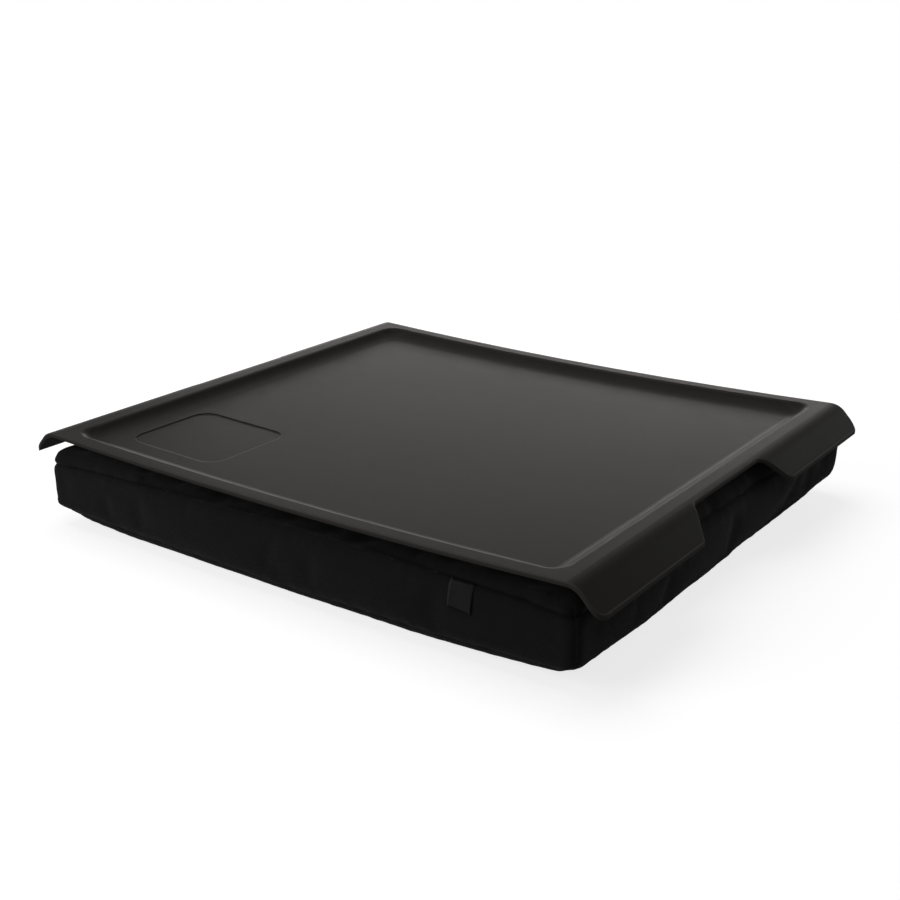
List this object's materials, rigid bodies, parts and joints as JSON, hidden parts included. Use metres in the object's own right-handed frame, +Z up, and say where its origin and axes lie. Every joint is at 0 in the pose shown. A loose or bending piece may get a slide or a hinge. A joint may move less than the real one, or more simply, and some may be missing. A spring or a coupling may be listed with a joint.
{
  "type": "lap tray with cushion",
  "caption": "Shallow moulded tray with a sunk panel, curved side wings with hand cut-outs and a mouse mark, on a removable bead cushion in a zipped cover.",
  "frame": {"origin": "on the floor under the middle of the tray, at the centre of the flat that the cushion rests on", "axes": "+X to the right along the tray's long side, +Y to the back, +Z up; the label is on the front, -Y"},
  "size_m": [0.461, 0.3852, 0.0693],
  "materials": {
    "tray_plastic": "soft-touch matte, near black",
    "cover_fabric": "close plain weave, black",
    "lining": "thin white lining",
    "beads": "expanded polystyrene beads",
    "hook_tape": "hook tape, black",
    "loop_tape": "loop tape, black",
    "label_satin": "black satin ribbon, no lettering",
    "zip_tape": "woven zip tape, black",
    "zip_coil": "nylon coil, black",
    "zip_metal": "black enamel"
  },
  "bodies": {
    "cushion": {"cover_top": "cover_fabric", "cover_base": "cover_fabric", "cover_front_band": "cover_fabric", "cover_left_band": "cover_fabric", "cover_right_band": "cover_fabric", "cover_back_band_upper": "cover_fabric", "cover_back_band_lower": "cover_fabric", "inner_bag": "lining", "bead_fill": "beads", "side_label": "label_satin", "loop_strip_front": "loop_tape", "loop_strip_rear": "loop_tape", "loop_strip_left": "loop_tape", "loop_strip_right": "loop_tape", "zip_tape_upper": "zip_tape", "zip_tape_lower": "zip_tape", "zip_coil_upper": "zip_coil", "zip_coil_lower": "zip_coil", "zip_top_stops": "zip_metal", "zip_bottom_stop": "zip_metal"},
    "tray": {"tray_shell": "tray_plastic", "hook_strip_front": "hook_tape", "hook_strip_rear": "hook_tape", "hook_strip_left": "hook_tape", "hook_strip_right": "hook_tape"},
    "zip_slider": {"zip_slider": "zip_metal"},
    "zip_pull": {"zip_pull": "zip_metal"}
  },
  "joints": [
    {"name": "tray_lift", "type": "slide", "parent": "cushion", "child": "tray", "axis": [0, 0, 1], "range_m": [0, 0.06]},
    {"name": "zip_slide", "type": "slide", "parent": "cushion", "child": "zip_slider", "axis": [1, 0, 0], "range_m": [0, 0.324]},
    {"name": "pull_flip", "type": "hinge", "parent": "zip_slider", "child": "zip_pull", "pos_m": [-0.162, 0.19235, 0.03095], "axis": [0, 0, 1], "range_deg": [0, 175]}
  ]
}
